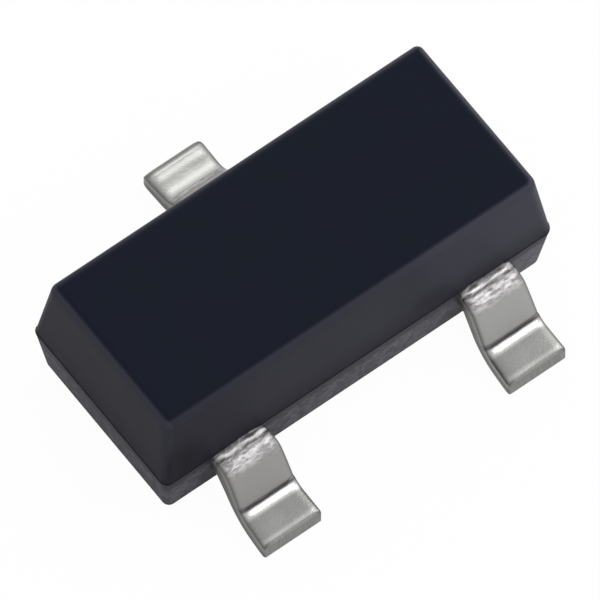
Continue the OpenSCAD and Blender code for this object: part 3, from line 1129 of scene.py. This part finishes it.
def white_board():
    """Matte white board, which the camera and reflections see about as white as it is."""
    material = bpy.data.materials.new("white_board")
    material.use_nodes = True
    tree = material.node_tree
    tree.nodes.clear()
    board = add(tree, "ShaderNodeBsdfDiffuse", {"Color": linear("#f2f2f2")}).outputs["BSDF"]
    white = add(tree, "ShaderNodeEmission", {"Color": linear("#ffffff"), "Strength": 1.0})
    mixed = add(tree, "ShaderNodeMixShader", {0: board_glow(tree), 1: board,
                2: white.outputs["Emission"]})
    add(tree, "ShaderNodeOutputMaterial", {"Surface": mixed.outputs["Shader"]})
    return material


def white_floor():
    """Wide board that the part stands on."""
    half = FLOOR_HALF
    mesh = bpy.data.meshes.new("floor")
    corners = [(-half, -half, 0), (half, -half, 0), (half, half, 0), (-half, half, 0)]
    mesh.from_pydata([Vector(c) * MM for c in corners], [], [(0, 1, 2, 3)])
    mesh.materials.append(white_board())
    floor = bpy.data.objects.new("floor", mesh)
    bpy.context.scene.collection.objects.link(floor)


def studio_world():
    """Dim room above, with a white sweep round the horizon that the camera and reflections see."""
    world = bpy.data.worlds.new("studio")
    bpy.context.scene.world = world
    world.use_nodes = True
    tree = world.node_tree
    tree.nodes.clear()
    path = add(tree, "ShaderNodeLightPath")
    direction = add(tree, "ShaderNodeTexCoord").outputs["Generated"]
    height = add(tree, "ShaderNodeSeparateXYZ", {"Vector": direction}).outputs["Z"]
    sweep = add(tree, "ShaderNodeMapRange", {"Value": height, "From Min": 0.2, "From Max": 0.7,
                "To Min": 1.0, "To Max": 0.0}).outputs["Result"]
    reflected = add(tree, "ShaderNodeMath", {0: path.outputs["Is Glossy Ray"],
                    1: path.outputs["Is Transmission Ray"]},
                    operation="ADD", use_clamp=True).outputs["Value"]
    swept = add(tree, "ShaderNodeMath", {0: sweep, 1: reflected}, operation="MULTIPLY")
    seen = add(tree, "ShaderNodeMath", {0: swept.outputs["Value"],
               1: path.outputs["Is Camera Ray"]}, operation="MAXIMUM").outputs["Value"]
    room = add(tree, "ShaderNodeMapRange", {"Value": height, "From Min": 0.3, "From Max": 0.95,
               "To Min": ROOM_LEVEL, "To Max": CEILING_LEVEL}).outputs["Result"]
    colour = add(tree, "ShaderNodeMix", {0: seen, MIX_A: room, MIX_B: linear("#ffffff")},
                 data_type="RGBA").outputs[MIXED]
    back = add(tree, "ShaderNodeBackground", {"Color": colour, "Strength": 1.0})
    add(tree, "ShaderNodeOutputWorld", {"Surface": back.outputs["Background"]})


def toward(azimuth, elevation):
    """Unit vector from the part towards a place at these angles, in radians."""
    flat = math.cos(elevation)
    return Vector((math.sin(azimuth) * flat, -math.cos(azimuth) * flat, math.sin(elevation)))


def soft_lamp(name, azimuth, elevation, distance, size, level):
    """Square soft lamp, in millimetres and degrees. Its level is its share of plain light at the
    part."""
    lamp = bpy.data.lights.new(name, "AREA")
    lamp.size = size * MM
    lamp.energy = level * math.pi ** 2 * (distance * MM) ** 2
    holder = bpy.data.objects.new(name, lamp)
    way = toward(math.radians(azimuth), math.radians(elevation))
    holder.location = Vector((0, 0, AIM_HEIGHT * MM)) + way * distance * MM
    holder.rotation_mode = "QUATERNION"
    holder.rotation_quaternion = (-way).to_track_quat("-Z", "Y")
    holder.visible_camera = False
    bpy.context.scene.collection.objects.link(holder)


def place_camera():
    """Camera at the photograph's viewing angle, framed so that the part falls where it does there."""
    back = toward(VIEW_AZIMUTH, VIEW_ELEVATION)
    right = Vector((math.cos(VIEW_AZIMUTH), math.sin(VIEW_AZIMUTH), 0))
    up = back.cross(right)
    data = bpy.data.cameras.new("camera")
    data.sensor_width = SENSOR
    data.lens = SENSOR * PIXELS_PER_MM * CAMERA_DISTANCE / IMAGE_PIXELS
    data.clip_start = 1 * MM
    data.clip_end = 1000 * MM
    camera = bpy.data.objects.new("camera", data)
    aim = Vector((0, BODY_Y, AIM_HEIGHT)) + AIM_RIGHT * right + AIM_UP * up
    turn = Matrix((right, up, back)).transposed().to_4x4()
    camera.matrix_world = Matrix.Translation((aim + back * CAMERA_DISTANCE) * MM) @ turn
    bpy.context.scene.collection.objects.link(camera)
    bpy.context.scene.camera = camera


def build_leads():
    """The three leads, each with its post or the paddle inside the body."""
    materials = [matte_tin(), sheared_tin()]
    x0 = supply_low.x
    x1 = supply_high.x
    post_end = supply_high.y
    reset_post = (-x1, -x0, -FRAME_U, post_end)
    supply_post = (x0, x1, -FRAME_U, post_end)
    paddle = (ground_low.x, ground_high.x, ground_low.y, FRAME_U)
    right = LEAD_PITCH / 2
    gull_wing_lead("reset_lead", "lead_reset", -right, FRONT, reset_post, RESET_FORM, materials)
    gull_wing_lead("supply_lead", "lead_supply", right, FRONT, supply_post, SUPPLY_FORM, materials)
    gull_wing_lead("ground_lead", "lead_ground", 0, BACK, paddle, GROUND_FORM, materials)


def dress_inside():
    """Materials of the pieces that the body hides."""
    dress_node("die_attach", silver_adhesive())
    dress_node("silicon_die", polished_silicon())
    gold = drawn_gold()
    for wire in ("wire_reset", "wire_supply", "wire_ground"):
        dress_node(wire, gold)


def light_stage():
    """Room, board and lamps."""
    studio_world()
    white_floor()
    soft_lamp("back", azimuth=155, elevation=36, distance=60, size=34, level=0.28)
    soft_lamp("front", azimuth=25, elevation=44, distance=60, size=38, level=0.32)
    soft_lamp("right", azimuth=85, elevation=40, distance=60, size=40, level=0.25)


moulded_body([moulded_epoxy()])
build_leads()
dress_inside()
light_stage()
place_camera()
bpy.context.scene.view_settings.view_transform = "Standard"
